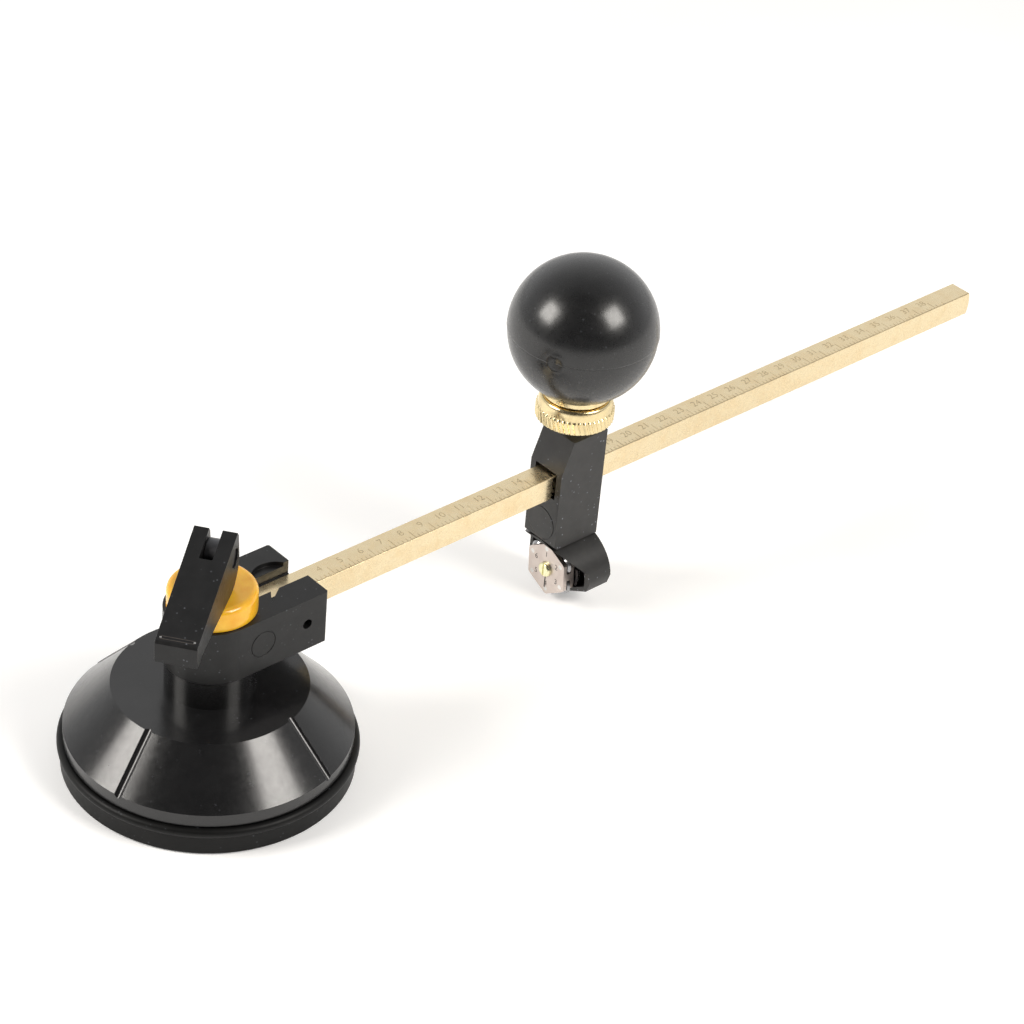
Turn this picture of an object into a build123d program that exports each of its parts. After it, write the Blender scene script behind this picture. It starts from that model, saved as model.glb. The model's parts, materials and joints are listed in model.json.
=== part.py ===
"""Circular glass cutter: a suction base, a brass scale bar that turns about it, and a clamped
carriage with a ball handle and a turret of six cutting wheels.

Origin: the base's axis at the level of the glass. +X runs along the bar, +Z is up. Millimetres.
"""
import os
from math import atan2, cos, degrees, hypot, radians, sin

from build123d import *

os.makedirs("parts", exist_ok=True)

# ---------------------------------------------------------------- general fits
running_fit = 0.05       # radial clearance of a shaft in its bearing
face_gap = 0.05          # gap between faces that slide on each other
overcut = 1.0            # how far a cut runs past the face it opens

# ---------------------------------------------------------------- suction base
rim_radius = 27.4        # sharp rim of the housing's cone
rim_height = 8.9
skirt_depth = 2.6        # short vertical wall under the rim
shelf_radius = 18.6      # flat shelf at the top of the cone
shelf_height = 18.3
shell_wall = 2.2
shoulder_wall = 1.54     # shell's wall at the shelf's edge
rim_thickness = 1.0      # shell's thickness over the rim
neck_rounding = 0.5
neck_radius = 8.7        # the arm's block sits on top of the neck
neck_height = 24.15
guide_boss_radius = 5.2  # boss inside the shell that guides the stem
guide_boss_bottom = 10.5
spigot_radius = 4.6      # the arm turns on this spigot
spigot_entry = 2.6       # how far the spigot reaches into the cap
groove_count = 4         # radial flutes in the cone
groove_bearing = 16.0    # degrees, first flute
groove_radius = 1.0      # the flutes are shallow round grooves
groove_depth = 0.45

pad_radius = 27.9        # rubber pad, where it meets the glass
lip_radius = 28.5        # bulging upper lip of the pad
lip_bottom = 4.2
lip_step = 0.2           # the lip starts this far outside the pad's wall
lip_rise = 0.3           # over this height
lip_gap = 0.35           # between the lip's top and the skirt
pad_fit = 0.3            # between the pad's core and the skirt
pad_taper = 1.5          # the core draws in by this much at its top
pad_edge = 0.4           # bevel round the foot
lip_recess = 1.0         # how far the pad's top edge draws in under the skirt
pad_foot_width = 8.0     # flat ring that rests on the glass
pad_dish = 2.9           # hollow under the middle of the pad
web_thickness = 2.4

plate_radius = 9.0       # steel disc bonded on the pad
plate_thickness = 1.2
plate_rounding = 0.3
stem_radius = 2.4
eye_radius = 3.05
eye_thickness = 2.2
eye_shoulder = 0.2       # the flat below the eye is this much narrower, each side
flat_drop = 0.8          # the flat starts this far below the cap's top

cap_radius = 8.45        # yellow cap under the lever
cap_rounding = 1.25
cap_thickness = 4.55

# ---------------------------------------------------------------- cam lever
lever_bearing = -142.6   # degrees, the way the handle points
pivot_height = 47.4      # lever pin's axis while the base is locked
lever_pin_radius = 1.9
pin_recess = 0.4
fork_width = 8.2         # width at the fork end
tip_width = 7.8          # width at the handle end
fork_slot = 2.5
slot_end = 5.3           # closed end of the slot, from the pin
back_reach = 3.0         # from the pin to the back of the fork
cam_below = 1.3          # centre of the heel's arc, below the pin
fork_top = 4.7           # top of the fork, above the pin
fork_lean = 0.8          # how far the fork's back leans forward
fork_bevel = 1.0         # bevel at the fork's top back corner
handle_reach = 24.0      # from the pin to the crease
crease_drop = 2.9        # crease, below the pin
crease_bevel = 0.4
lip_length = 4.5         # turned-down lip at the end of the handle
lip_thickness = 1.8
lip_root = 1.0           # slope between the lever's underside and the lip

# ---------------------------------------------------------------- arm
block_radius = 9.06
block_chamfer = 0.3      # round the underside
block_end_rounding = 0.5
block_height = 11.75
arm_reach = 20.0         # end of the block's two cheeks
bar_width = 5.1
bar_height = 5.4
bar_reach = 208.3        # corners of the bar's free end, from the base's axis
bar_dome = 0.45          # the free end bulges past its corners
bar_edge = 0.15          # chamfer along the bar's edges
channel_floor = 3.45     # thickness under the bar
channel_fit = 0.04       # each side of the bar, low in the channel
channel_mouth = 5.78     # width of the channel above the bar
channel_start = 6.2
bar_end_gap = 0.2        # between the bar and the channel's blind end
scoop_x = 14.9           # round relief on the far cheek's top edge
scoop_radius = 4.8
scoop_depth = 0.9
notch_start = 9.4        # three-cornered notch on the near cheek's top edge
notch_end = 13.2
notch_reach = 5.6        # its tip, from the arm's centre line
notch_depth = 1.5
set_screw_x = 15.3
set_screw_radius = 1.0
set_screw_length = 5.0
socket_radius = 0.55
socket_depth = 1.2
mark_radius = 2.8        # ring left by an ejector on the block's side
mark_x = 5.0
mark_width = 0.2
mark_depth = 0.12

# ---------------------------------------------------------------- carriage
knob_x = 89.2            # axis of the clamp screw and the ball
column_front = 82.9
column_back = 94.6
column_width = 9.0
column_top = 41.0
column_underside = 15.8
column_bevel = 0.8       # at the lower front edge
slope_run = 2.7          # sloped face at the top front edge
window_side_gap = 0.55   # window's mouth, each side of the bar
window_top_gap = 0.65    # above the bar
slope_start = 0.2        # the sloped face starts this far above the window
mouth_depth = 2.4        # depth of the wide mouths
guide_fit = 0.05         # bar in the guide, each side
body_mark_radius = 3.8   # ring left by an ejector on the front face
body_mark_height = 20.5

stud_radius = 2.9
stud_top = 57.0
stud_chamfer = 0.4
presser_radius = 2.6
presser_thickness = 1.2
presser_gap = 0.02       # between the disc and the bar, unclamped

nut_bottom = 44.0
nut_radius = 7.9
nut_band = 3.0           # height of the knurled band
nut_height = 5.2
nut_shoulder = 6.95      # radius at the top of the rounded shoulder
nut_edge = 0.3           # bevel at each end of the knurled band
collar_radius = 6.85
collar_bottom = 49.5
collar_thickness = 1.1
collar_rounding = 0.3
insert_radius = 5.0
insert_top = 58.0
insert_wall = 2.0        # plastic round the insert
insert_cover = 1.5       # plastic over the insert

ball_radius = 15.0
ball_height = 63.95      # height of the ball's centre
ball_wall = 2.5
tongue_height = 1.5
tongue_width = 1.1
tongue_fit = 0.15

# ---------------------------------------------------------------- turret
turret_corner = 6.1      # radius of the hexagon's corners
corner_rounding = 0.9
turret_front = 85.75
cheek_thickness = 0.9
wheel_gap = 1.1          # width of the slot that each wheel runs in
wheel_clearance = 0.25   # between a wheel's edge and the floor of its slot
wheel_count = 6
wheel_orbit = 4.8        # wheel axles, from the turret's axis
wheel_radius = 1.7
turret_height = 7.55     # turret's axis, above the glass
turret_lean = 4.0        # degrees, how far the turret stands from a click
wheel_thickness = 0.9
wheel_edge = 0.45        # height of the wheel's ground bevel
axle_radius = 0.5
axle_fit = 0.03
pivot_radius = 1.25
screw_head_radius = 1.6
screw_head_height = 0.8
screw_head_rounding = 0.48
slot_width = 0.35
slot_depth = 0.4
screw_end_gap = 0.2      # screw and nut end this far inside the hood's back

hood_half_width = 9.9    # rounded hood behind and over the turret
hood_rise = 8.8          # from the turret's axis to the hood's top
disc_front = 88.7        # front of the round part's rim
visor_height = 10.1      # the rim slopes forward above this height
hood_far_side = 8.3      # the hood is flat on the side away from the scale
rim_wall = 0.8           # wall of the hood round the turret
cavity_radius = 7.9      # room for the turret under the hood
foot_flat = 3.0          # half width of the hood's flat foot
foot_height = 2.6
chin_width = 9.1
chin_height = 5.9
chin_rise = 2.5          # steeper stretch above the chin
recess_radius = 8.4
recess_floor = 91.0
spring_reach = 6.4       # rounded ends of the bowed leaf spring, from the turret's axis
spring_width = 3.8
spring_seat = 2.45       # radius of the spring's face against the hood
spring_thickness = 0.5
back_nut_radius = 2.4
back_nut_depth = 2.2

# ---------------------------------------------------------------- heights and places that follow
block_bottom = neck_height + face_gap
block_top = block_bottom + block_height
bar_bottom = block_bottom + channel_floor
bar_top = bar_bottom + bar_height
bar_middle = (bar_bottom + bar_top) / 2
skirt_bottom = rim_height - skirt_depth
cap_bottom = block_top + 2 * face_gap
cap_top = cap_bottom + cap_thickness
spigot_top = cap_bottom + spigot_entry
stem_flat_bottom = cap_top - flat_drop
pad_web_top = pad_dish + web_thickness
turret_back = turret_front + 2 * cheek_thickness + wheel_gap
wheel_middle = turret_front + cheek_thickness + wheel_gap / 2
presser_bottom = bar_top + presser_gap
presser_top = presser_bottom + presser_thickness

lever_way = (cos(radians(lever_bearing)), sin(radians(lever_bearing)), 0)
lever_side = (sin(radians(lever_bearing)), -cos(radians(lever_bearing)), 0)
turret_plane = Plane(origin=(0, 0, turret_height), x_dir=(0, 1, 0), z_dir=(1, 0, 0))


def facing_x(x):
    """Sketch plane across the bar at x, centred on the turret's axis: sketch x is +Y, sketch y is +Z."""
    return turret_plane.offset(x)


def hood_outline(inset):
    """Adds the outline of the hood round the turret to the open sketch, drawn in by inset."""
    half_width = hood_half_width - inset
    rise = hood_rise - inset
    chin = chin_height - turret_height + inset
    foot = foot_height - turret_height + inset
    Ellipse(half_width, rise)
    Polygon(
        (-half_width, rise),
        (half_width, rise),
        (half_width, chin + chin_rise),
        (chin_width - inset, chin),
        (foot_flat, foot),
        (-foot_flat, foot),
        (inset - chin_width, chin),
        (-half_width, chin + chin_rise),
        align=None,
        mode=Mode.INTERSECT,
    )
    with Locations((hood_far_side - inset - 2 * hood_half_width, 0)):
        Rectangle(4 * hood_half_width, 4 * hood_rise, mode=Mode.INTERSECT)


def save(piece, name):
    piece.part.label = name
    export_step(piece.part, f"parts/{name}.step")


# ================================================================ suction base
with BuildPart() as cup_housing:
    bore = stem_radius + running_fit
    inner_top = shelf_height - shell_wall
    inner_rim = rim_radius - shell_wall
    inner_shoulder = shelf_radius - shoulder_wall
    with BuildSketch(Plane.XZ):
        with BuildLine():
            Polyline(
                (bore, spigot_top),
                (spigot_radius, spigot_top),
                (spigot_radius, neck_height),
                (neck_radius, neck_height),
                (neck_radius, shelf_height),
                (shelf_radius, shelf_height),
                (rim_radius, rim_height),
                (rim_radius, skirt_bottom),
                (inner_rim, skirt_bottom),
                (inner_rim, rim_height - rim_thickness),
                (inner_shoulder, inner_top),
                (guide_boss_radius, inner_top),
                (guide_boss_radius, guide_boss_bottom),
                (bore, guide_boss_bottom),
                close=True,
            )
        make_face()
    revolve(axis=Axis.Z)
    top_circles = cup_housing.edges().filter_by(GeomType.CIRCLE).group_by(Axis.Z)[-1]
    fillet(top_circles.sort_by(Edge.length)[-1], neck_rounding)
    # radial flutes, cut into the cone along its slope
    cone_tilt = degrees(atan2(shelf_height - rim_height, rim_radius - shelf_radius))
    cone_length = hypot(rim_radius - shelf_radius, shelf_height - rim_height)
    cone_mid = ((rim_radius + shelf_radius) / 2, (rim_height + shelf_height) / 2)
    for turn in range(groove_count):
        bearing = groove_bearing + turn * 360 / groove_count
        outward = Vector(cos(radians(bearing)), sin(radians(bearing)), 0)
        middle = outward * cone_mid[0] + Vector(0, 0, cone_mid[1])
        down_slope = outward * cos(radians(cone_tilt)) - Vector(0, 0, sin(radians(cone_tilt)))
        normal = outward * sin(radians(cone_tilt)) + Vector(0, 0, cos(radians(cone_tilt)))
        lifted = middle + normal * (groove_radius - groove_depth)
        with BuildSketch(Plane(origin=lifted, x_dir=normal, z_dir=down_slope)):
            Circle(groove_radius)
        extrude(amount=cone_length / 2 + 2 * overcut, both=True, mode=Mode.SUBTRACT)

with BuildPart() as suction_pad:
    lip_middle = (lip_bottom + skirt_bottom) / 2
    with BuildSketch(Plane.XZ):
        with BuildLine():
            Polyline(
                (0, pad_web_top),
                (0, pad_dish),
                (plate_radius, pad_dish),
                (pad_radius - pad_foot_width, 0),
                (pad_radius - pad_edge, 0),
                (pad_radius, pad_edge),
                (pad_radius, lip_bottom - lip_rise),
                (pad_radius + lip_step, lip_bottom),
            )
            ThreePointArc(
                (pad_radius + lip_step, lip_bottom),
                (lip_radius, lip_middle),
                (rim_radius - lip_step, skirt_bottom - lip_gap),
            )
            Polyline(
                (rim_radius - lip_step, skirt_bottom - lip_gap),
                (rim_radius - lip_recess, skirt_bottom - lip_gap),
                (rim_radius - lip_recess, skirt_bottom),
                (inner_rim - pad_fit, skirt_bottom),
                (inner_rim - pad_fit - pad_taper, pad_web_top),
                (0, pad_web_top),
            )
        make_face()
    revolve(axis=Axis.Z)

with BuildPart() as stem_plate:
    with BuildSketch(Plane.XY.offset(pad_web_top)):
        Circle(plate_radius)
    extrude(amount=plate_thickness)
    fillet(stem_plate.edges().group_by(Axis.Z)[-1], plate_rounding)

with BuildPart() as pull_stem:
    shank_bottom = pad_web_top + plate_thickness
    with BuildSketch(Plane.XY.offset(shank_bottom)):
        Circle(stem_radius)
    extrude(amount=stem_flat_bottom - shank_bottom)
    # flattened eye
    with BuildSketch(Plane(origin=(0, 0, pivot_height), x_dir=lever_way, z_dir=lever_side)):
        neck = pivot_height - stem_flat_bottom
        with Locations((0, -neck / 2)):
            Rectangle(2 * (stem_radius - eye_shoulder), neck)
        Circle(eye_radius)
        Circle(lever_pin_radius + running_fit, mode=Mode.SUBTRACT)
    extrude(amount=eye_thickness / 2, both=True)

with BuildPart() as thrust_cap:
    with BuildSketch(Plane.XY.offset(cap_bottom)):
        Circle(cap_radius)
    extrude(amount=cap_thickness)
    fillet(thrust_cap.edges().group_by(Axis.Z)[-1], cap_rounding)
    with BuildSketch(Plane.XY.offset(cap_bottom)):
        Circle(spigot_radius)
    extrude(amount=spigot_top - cap_bottom, mode=Mode.SUBTRACT)
    with BuildSketch(Plane.XY.offset(cap_bottom)):
        Circle(stem_radius + 3 * running_fit)
    extrude(amount=cap_thickness, mode=Mode.SUBTRACT)

# ================================================================ cam lever
with BuildPart() as cam_lever:
    heel = pivot_height - cap_top - face_gap
    cam_radius = heel - cam_below
    cam_forward = cam_radius - back_reach
    with BuildSketch(Plane(origin=(0, 0, pivot_height), x_dir=lever_way, z_dir=lever_side)):
        with BuildLine():
            Polyline(
                (-back_reach, -cam_below),
                (-back_reach + fork_lean, fork_top - fork_bevel),
                (-back_reach + 2 * fork_lean, fork_top),
                (handle_reach - crease_bevel, -crease_drop),
                (handle_reach, -crease_drop - crease_bevel),
                (handle_reach, -crease_drop - lip_length),
                (handle_reach - lip_thickness, -crease_drop - lip_length),
                (handle_reach - lip_thickness - lip_root, -heel),
                (cam_forward, -heel),
            )
            ThreePointArc(
                (cam_forward, -heel),
                (cam_forward - cam_radius * cos(radians(45)), -cam_below - cam_radius * sin(radians(45))),
                (-back_reach, -cam_below),
            )
        make_face()
    extrude(amount=fork_width / 2, both=True)
    # the sides draw in towards the handle's end
    with BuildSketch(Plane(origin=(0, 0, 0), x_dir=lever_way, z_dir=(0, 0, 1))):
        Polygon(
            (-2 * back_reach, fork_width / 2),
            (-back_reach, fork_width / 2),
            (handle_reach + overcut, tip_width / 2),
            (handle_reach + overcut, -tip_width / 2),
            (-back_reach, -fork_width / 2),
            (-2 * back_reach, -fork_width / 2),
            align=None,
        )
    extrude(amount=3 * pivot_height, mode=Mode.INTERSECT)
    # slot for the stem's eye, open at the back
    with BuildSketch(Plane(origin=(0, 0, 0), x_dir=lever_way, z_dir=(0, 0, 1))):
        with Locations(((slot_end - 3 * back_reach) / 2, 0)):
            Rectangle(slot_end + 3 * back_reach, fork_slot)
    extrude(amount=3 * pivot_height, mode=Mode.SUBTRACT)
    with BuildSketch(Plane(origin=(0, 0, pivot_height), x_dir=lever_way, z_dir=lever_side)):
        Circle(lever_pin_radius)
    extrude(amount=fork_width, both=True, mode=Mode.SUBTRACT)

with BuildPart() as lever_pin:
    with BuildSketch(Plane(origin=(0, 0, pivot_height), x_dir=lever_way, z_dir=lever_side)):
        Circle(lever_pin_radius)
    extrude(amount=fork_width / 2 - pin_recess, both=True)

# ================================================================ arm
with BuildPart() as swivel_block:
    with BuildSketch(Plane.XY.offset(block_bottom)):
        Circle(block_radius)
        with Locations((arm_reach / 2, 0)):
            Rectangle(arm_reach, 2 * block_radius)
    extrude(amount=block_height)
    fillet(swivel_block.edges().filter_by(Axis.Z).group_by(Axis.X)[-1], block_end_rounding)
    chamfer(swivel_block.faces().sort_by(Axis.Z)[0].edges(), block_chamfer)
    with BuildSketch(Plane.XY.offset(block_bottom)):
        Circle(spigot_radius + running_fit)
    extrude(amount=block_height, mode=Mode.SUBTRACT)
    # channel for the bar: snug beside the bar, wider above it
    channel_length = arm_reach + overcut - channel_start
    with BuildSketch(Plane.XY.offset(bar_bottom)):
        with Locations((channel_start + channel_length / 2, 0)):
            Rectangle(channel_length, bar_width + 2 * channel_fit)
    extrude(amount=block_height, mode=Mode.SUBTRACT)
    with BuildSketch(Plane.XY.offset(bar_top)):
        with Locations((channel_start + channel_length / 2, 0)):
            Rectangle(channel_length, channel_mouth)
    extrude(amount=block_height, mode=Mode.SUBTRACT)
    # small reliefs on the cheeks' inner top edges
    with BuildSketch(Plane.XY.offset(block_top - scoop_depth)):
        with Locations((scoop_x, 0)):
            Circle(scoop_radius)
        with Locations((scoop_x, -scoop_radius)):
            Rectangle(2 * scoop_radius, 2 * scoop_radius, mode=Mode.SUBTRACT)
    extrude(amount=2 * scoop_depth, mode=Mode.SUBTRACT)
    notch_middle = (notch_start + notch_end) / 2
    with BuildSketch(Plane.XY.offset(block_top - notch_depth)):
        Polygon(
            (notch_start, -notch_reach),
            (notch_middle, -channel_mouth / 2),
            (notch_middle, 0),
            (notch_end, 0),
            (notch_end, -channel_mouth / 2),
            align=None,
        )
    extrude(amount=2 * notch_depth, mode=Mode.SUBTRACT)
    # threaded hole in the near cheek
    with BuildSketch(Plane(origin=(set_screw_x, 0, bar_middle), x_dir=(1, 0, 0), z_dir=(0, -1, 0))):
        Circle(set_screw_radius)
    extrude(amount=2 * block_radius, mode=Mode.SUBTRACT)
    # shallow ring mark
    mark_floor = (mark_x, mark_depth - block_radius, bar_middle)
    with BuildSketch(Plane(origin=mark_floor, x_dir=(1, 0, 0), z_dir=(0, -1, 0))):
        Circle(mark_radius)
        Circle(mark_radius - mark_width, mode=Mode.SUBTRACT)
    extrude(amount=2 * mark_depth, mode=Mode.SUBTRACT)

with BuildPart() as bar_set_screw:
    tip_y = bar_width / 2
    with BuildSketch(Plane(origin=(set_screw_x, -tip_y, bar_middle), x_dir=(1, 0, 0), z_dir=(0, -1, 0))):
        Circle(set_screw_radius)
    extrude(amount=set_screw_length)
    with BuildSketch(bar_set_screw.faces().sort_by(Axis.Y)[0]):
        RegularPolygon(socket_radius, 6)
    extrude(amount=-socket_depth, mode=Mode.SUBTRACT)

with BuildPart() as scale_bar:
    bar_start = channel_start + bar_end_gap
    with BuildSketch(Plane.XZ):
        with BuildLine():
            Polyline(
                (bar_reach, bar_top),
                (bar_start, bar_top),
                (bar_start, bar_bottom),
                (bar_reach, bar_bottom),
            )
            ThreePointArc(
                (bar_reach, bar_bottom),
                (bar_reach + bar_dome, bar_middle),
                (bar_reach, bar_top),
            )
        make_face()
    extrude(amount=bar_width / 2, both=True)
    chamfer(scale_bar.edges().filter_by(Axis.X), bar_edge)

# ================================================================ carriage
with BuildPart() as slide_body:
    with BuildSketch(Plane.XZ):
        with BuildLine():
            Polyline(
                (column_front, column_underside + column_bevel),
                (column_front + column_bevel, column_underside),
                (column_back, column_underside),
                (column_back, column_top),
                (column_front + slope_run, column_top),
                (column_front, bar_top + window_top_gap + slope_start),
                close=True,
            )
        make_face()
    extrude(amount=column_width / 2, both=True)
    # round hood behind the turret, with a flat foot and sloping chin
    with BuildSketch(facing_x(column_front)):
        hood_outline(0)
    extrude(amount=column_back - column_front)
    # its front slopes forward to the column, like a visor
    with BuildSketch(Plane.XZ):
        Polygon(
            (column_front, foot_height),
            (disc_front, foot_height),
            (disc_front, visor_height),
            (column_front, column_underside),
            align=None,
        )
    extrude(amount=hood_half_width, both=True, mode=Mode.SUBTRACT)
    # on the far side it draws in to the column's width
    with BuildSketch(Plane.XY):
        Polygon(
            (column_front, column_width / 2),
            (disc_front, hood_far_side),
            (disc_front, 2 * hood_half_width),
            (column_front, 2 * hood_half_width),
            align=None,
        )
    extrude(amount=column_top, mode=Mode.SUBTRACT)
    # room for the turret, and the recess behind it
    for front, back, radius in (
        (column_front, disc_front, cavity_radius),
        (disc_front, recess_floor, recess_radius),
    ):
        with BuildSketch(facing_x(front)):
            hood_outline(rim_wall)
            Circle(radius, mode=Mode.INTERSECT)
        extrude(amount=back - front, mode=Mode.SUBTRACT)
    # bar's window: a snug guide between two wide mouths
    with BuildSketch(Plane.YZ.offset(column_front)):
        with Locations((0, (bar_bottom + bar_top + window_top_gap) / 2)):
            Rectangle(bar_width + 2 * guide_fit, bar_height + window_top_gap + 2 * guide_fit)
    extrude(amount=column_back - column_front, mode=Mode.SUBTRACT)
    for mouth in (column_front, column_back - mouth_depth):
        with BuildSketch(Plane.YZ.offset(mouth)):
            with Locations((0, (bar_bottom + bar_top + window_top_gap) / 2)):
                Rectangle(bar_width + 2 * window_side_gap, bar_height + window_top_gap + 2 * guide_fit)
        extrude(amount=mouth_depth, mode=Mode.SUBTRACT)
    # threaded bore for the clamp stud
    with BuildSketch(Plane.XY.offset(bar_top)):
        with Locations((knob_x, 0)):
            Circle(stud_radius + running_fit)
    extrude(amount=column_top, mode=Mode.SUBTRACT)
    # pivot bore and the back nut's pocket
    with BuildSketch(facing_x(disc_front)):
        Circle(pivot_radius)
    extrude(amount=column_back - disc_front, mode=Mode.SUBTRACT)
    with BuildSketch(facing_x(column_back - back_nut_depth)):
        RegularPolygon(back_nut_radius + running_fit, 6)
    extrude(amount=back_nut_depth, mode=Mode.SUBTRACT)
    # ring mark on the front face
    with BuildSketch(Plane.YZ.offset(column_front)):
        with Locations((0, body_mark_height)):
            Circle(body_mark_radius)
            Circle(body_mark_radius - mark_width, mode=Mode.SUBTRACT)
    extrude(amount=mark_depth, mode=Mode.SUBTRACT)

with BuildPart() as pressure_pad:
    with BuildSketch(Plane.XY.offset(presser_bottom)):
        with Locations((knob_x, 0)):
            Circle(presser_radius)
    extrude(amount=presser_thickness)

with BuildPart() as clamp_stud:
    with BuildSketch(Plane.XY.offset(presser_top)):
        with Locations((knob_x, 0)):
            Circle(stud_radius)
    extrude(amount=stud_top - presser_top)
    chamfer(clamp_stud.edges().group_by(Axis.Z)[0], stud_chamfer)

with BuildPart() as lock_nut:
    nut_top = nut_bottom + nut_height
    nut_bore = stud_radius + running_fit
    band_top = nut_bottom + nut_band
    neck = nut_radius - nut_edge
    shoulder_mid = (nut_shoulder + (neck - nut_shoulder) * cos(radians(45)))
    shoulder_rise = (nut_top - band_top) * sin(radians(45))
    with BuildSketch(Plane(origin=(knob_x, 0, 0), x_dir=(1, 0, 0), z_dir=(0, -1, 0))):
        with BuildLine():
            Polyline(
                (nut_shoulder, nut_top),
                (nut_bore, nut_top),
                (nut_bore, nut_bottom),
                (neck, nut_bottom),
                (nut_radius, nut_bottom + nut_edge),
                (nut_radius, band_top - nut_edge),
                (neck, band_top),
            )
            ThreePointArc((neck, band_top), (shoulder_mid, band_top + shoulder_rise), (nut_shoulder, nut_top))
        make_face()
    revolve(axis=Axis((knob_x, 0, 0), (0, 0, 1)))

with BuildPart() as knob_insert:
    collar_top = collar_bottom + collar_thickness
    with BuildSketch(Plane.XY.offset(collar_bottom)):
        with Locations((knob_x, 0)):
            Circle(collar_radius)
    extrude(amount=collar_thickness)
    fillet(knob_insert.edges().filter_by(GeomType.CIRCLE).group_by(Axis.Z)[0], collar_rounding)
    with BuildSketch(Plane.XY.offset(collar_top)):
        with Locations((knob_x, 0)):
            Circle(insert_radius)
    extrude(amount=insert_top - collar_top)
    with BuildSketch(Plane.XY.offset(collar_bottom)):
        with Locations((knob_x, 0)):
            Circle(stud_radius)
    extrude(amount=stud_top - collar_bottom, mode=Mode.SUBTRACT)

with BuildPart() as knob_lower_half:
    inner_ball = ball_radius - ball_wall
    tongue_outer = inner_ball - tongue_fit
    boss_radius = insert_radius + insert_wall
    with BuildSketch(Plane(origin=(knob_x, 0, ball_height), x_dir=(1, 0, 0), z_dir=(0, -1, 0))):
        Circle(ball_radius)
        Circle(inner_ball, mode=Mode.SUBTRACT)
        with Locations((-ball_radius, 0)):
            Rectangle(2 * ball_radius, 4 * ball_radius, mode=Mode.SUBTRACT)
        with Locations((0, ball_radius)):
            Rectangle(4 * ball_radius, 2 * ball_radius, mode=Mode.SUBTRACT)
        # boss round the insert
        boss_top = insert_top + insert_cover - ball_height
        boss_bottom = collar_top - ball_height
        with Locations((boss_radius / 2, (boss_top + boss_bottom) / 2)):
            Rectangle(boss_radius, boss_top - boss_bottom)
        # tongue that locates the upper half, on a ledge below the seam
        with Locations((tongue_outer - tongue_width / 2, 0)):
            Rectangle(tongue_width, 2 * tongue_height)
        with Locations((inner_ball - tongue_width / 2, -tongue_height)):
            Rectangle(tongue_width + ball_wall / 2, tongue_height)
        hole_top = insert_top - ball_height
        hole_bottom = boss_bottom - overcut
        with Locations((insert_radius / 2, (hole_top + hole_bottom) / 2)):
            Rectangle(insert_radius, hole_top - hole_bottom, mode=Mode.SUBTRACT)
        with Locations((ball_radius, boss_bottom - ball_radius)):
            Rectangle(2 * ball_radius, 2 * ball_radius, mode=Mode.SUBTRACT)
    revolve(axis=Axis((knob_x, 0, 0), (0, 0, 1)))

with BuildPart() as knob_upper_half:
    with BuildSketch(Plane(origin=(knob_x, 0, ball_height), x_dir=(1, 0, 0), z_dir=(0, -1, 0))):
        Circle(ball_radius)
        Circle(inner_ball, mode=Mode.SUBTRACT)
        with Locations((-ball_radius, 0)):
            Rectangle(2 * ball_radius, 4 * ball_radius, mode=Mode.SUBTRACT)
        with Locations((0, -ball_radius)):
            Rectangle(4 * ball_radius, 2 * ball_radius, mode=Mode.SUBTRACT)
    revolve(axis=Axis((knob_x, 0, 0), (0, 0, 1)))

# ================================================================ cutting head
first_corner = 270 - 360 / wheel_count * (wheel_count // 2) - turret_lean
corners = [first_corner + turn * 360 / wheel_count for turn in range(wheel_count)]

with BuildPart() as wheel_turret:
    with BuildSketch(facing_x(turret_front)):
        RegularPolygon(turret_corner, wheel_count, rotation=first_corner)
    extrude(amount=turret_back - turret_front)
    fillet(wheel_turret.edges().filter_by(Axis.X), corner_rounding)
    # a round-bottomed slot at each corner, where a wheel runs
    with BuildSketch(facing_x(turret_front + cheek_thickness)):
        with PolarLocations(wheel_orbit, wheel_count, start_angle=first_corner):
            Circle(wheel_radius + wheel_clearance)
    extrude(amount=wheel_gap, mode=Mode.SUBTRACT)
    with BuildSketch(facing_x(turret_front)):
        Circle(pivot_radius + running_fit)
        with PolarLocations(wheel_orbit, wheel_count, start_angle=first_corner):
            Circle(axle_radius)
    extrude(amount=turret_back - turret_front, mode=Mode.SUBTRACT)

for number, corner in enumerate(corners, start=1):
    orbit_y = wheel_orbit * cos(radians(corner))
    orbit_z = turret_height + wheel_orbit * sin(radians(corner))
    wheel_axis = Axis((0, orbit_y, orbit_z), (1, 0, 0))
    with BuildPart() as cutting_wheel:
        half = wheel_thickness / 2
        with BuildSketch(Plane(origin=(wheel_middle, orbit_y, orbit_z), x_dir=(1, 0, 0), z_dir=(0, -1, 0))):
            Polygon(
                (-half, axle_radius + axle_fit),
                (half, axle_radius + axle_fit),
                (half, wheel_radius - wheel_edge),
                (0, wheel_radius),
                (-half, wheel_radius - wheel_edge),
                align=None,
            )
        revolve(axis=wheel_axis)
    save(cutting_wheel, f"cutting_wheel_{number}")
    with BuildPart() as wheel_axle:
        with BuildSketch(Plane(origin=(turret_front, orbit_y, orbit_z), x_dir=(0, 1, 0), z_dir=(1, 0, 0))):
            Circle(axle_radius)
        extrude(amount=turret_back - turret_front)
    save(wheel_axle, f"wheel_axle_{number}")

with BuildPart() as turret_screw:
    head_front = turret_front - face_gap - screw_head_height
    with BuildSketch(facing_x(turret_front - face_gap)):
        Circle(screw_head_radius)
    extrude(amount=-screw_head_height)
    fillet(turret_screw.edges().group_by(Axis.X)[0], screw_head_rounding)
    with BuildSketch(facing_x(turret_front - face_gap)):
        Circle(pivot_radius)
    extrude(amount=column_back - screw_end_gap - turret_front)
    with BuildSketch(facing_x(head_front)):
        Rectangle(slot_width, 3 * screw_head_radius)
    extrude(amount=slot_depth, mode=Mode.SUBTRACT)

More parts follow.
